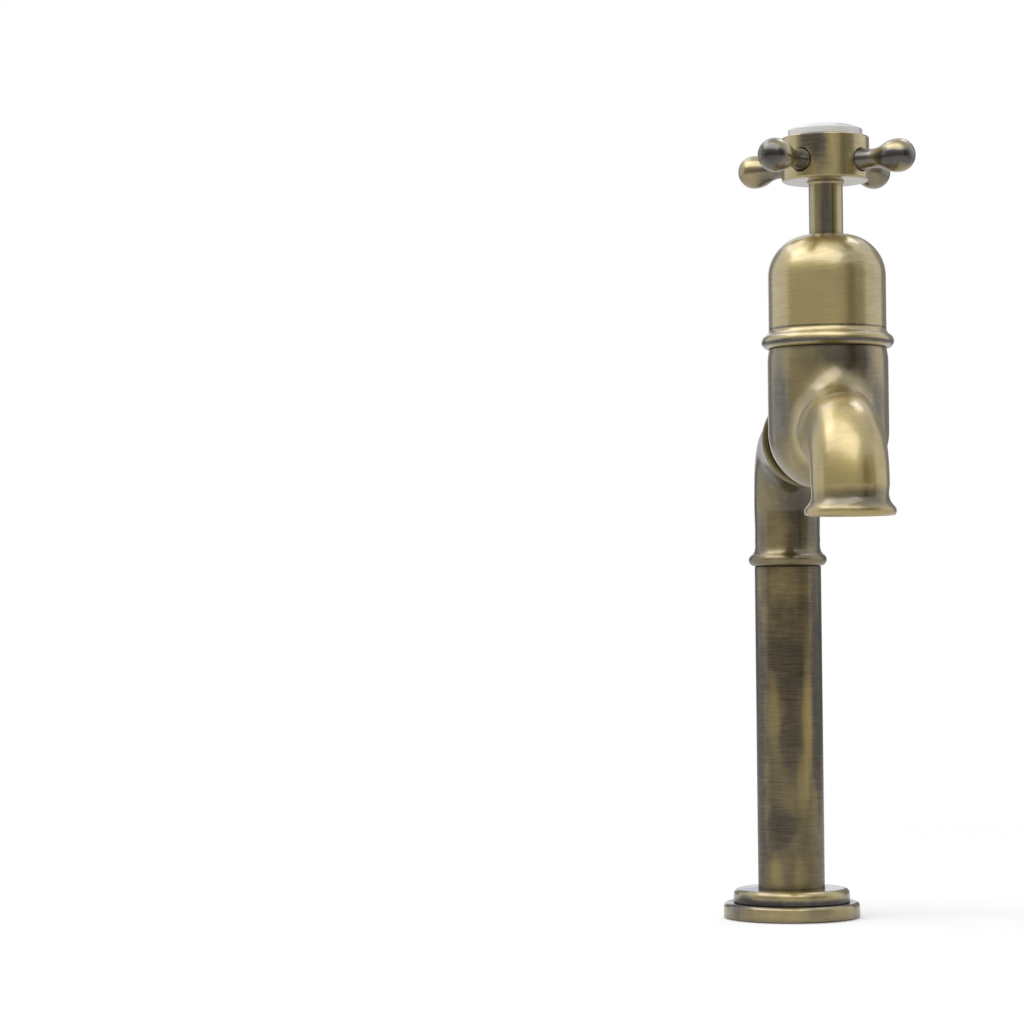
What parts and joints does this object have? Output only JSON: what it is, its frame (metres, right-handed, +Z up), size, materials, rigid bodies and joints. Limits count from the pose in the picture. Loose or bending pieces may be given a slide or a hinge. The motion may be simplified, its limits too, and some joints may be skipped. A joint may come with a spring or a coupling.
{
  "type": "cross handle tap",
  "caption": "Tall deck-mounted tap: slim pillar with stepped foot, elbow, valve body with short down-turned spout, domed bonnet and ball-ended cross handle with white index.",
  "frame": {"origin": "centre of the inlet mouth in the deck face under the foot, on the pillar axis", "axes": "+Z up along the pillar, the spout points to -Y, +X to the right seen from the front"},
  "size_m": [0.0486, 0.1877, 0.2472],
  "materials": {
    "aged_brass": "fine brushed antique brass with darker patina",
    "raw_brass": "machined, unplated",
    "porcelain": "glossy white glaze",
    "disc_ceramic": "lapped",
    "rubber": "matt black",
    "nylon": "moulded",
    "steel": "stainless"
  },
  "bodies": {
    "tap": {"deck_flange": "aged_brass", "base_seal": "rubber", "foot_collar": "aged_brass", "inlet_socket": "raw_brass", "pillar_tube": "aged_brass", "pillar_o_rings": "rubber", "elbow": "aged_brass", "union_nipple": "raw_brass", "union_seal": "rubber", "tap_body": "aged_brass", "straightener_seal": "rubber", "flow_straightener": "nylon", "headwork_body": "raw_brass", "headwork_o_ring": "rubber", "seat_seal": "rubber", "fixed_disc": "disc_ceramic", "thrust_washer": "nylon", "bonnet_cover": "aged_brass"},
    "handle": {"turning_disc": "disc_ceramic", "spindle": "raw_brass", "spindle_o_rings": "rubber", "spindle_circlip": "steel", "spindle_sleeve": "aged_brass", "handle_hub": "aged_brass", "handle_arm_rear_right": "aged_brass", "handle_arm_rear_left": "aged_brass", "handle_arm_front_left": "aged_brass", "handle_arm_front_right": "aged_brass", "index_disc": "porcelain", "index_ring": "rubber", "handle_screw": "steel"}
  },
  "joints": [
    {"name": "handle_turn", "type": "hinge", "parent": "tap", "child": "handle", "pos_m": [0, -0.1074, 0.235], "axis": [0, 0, 1], "range_deg": [0, 90]}
  ]
}
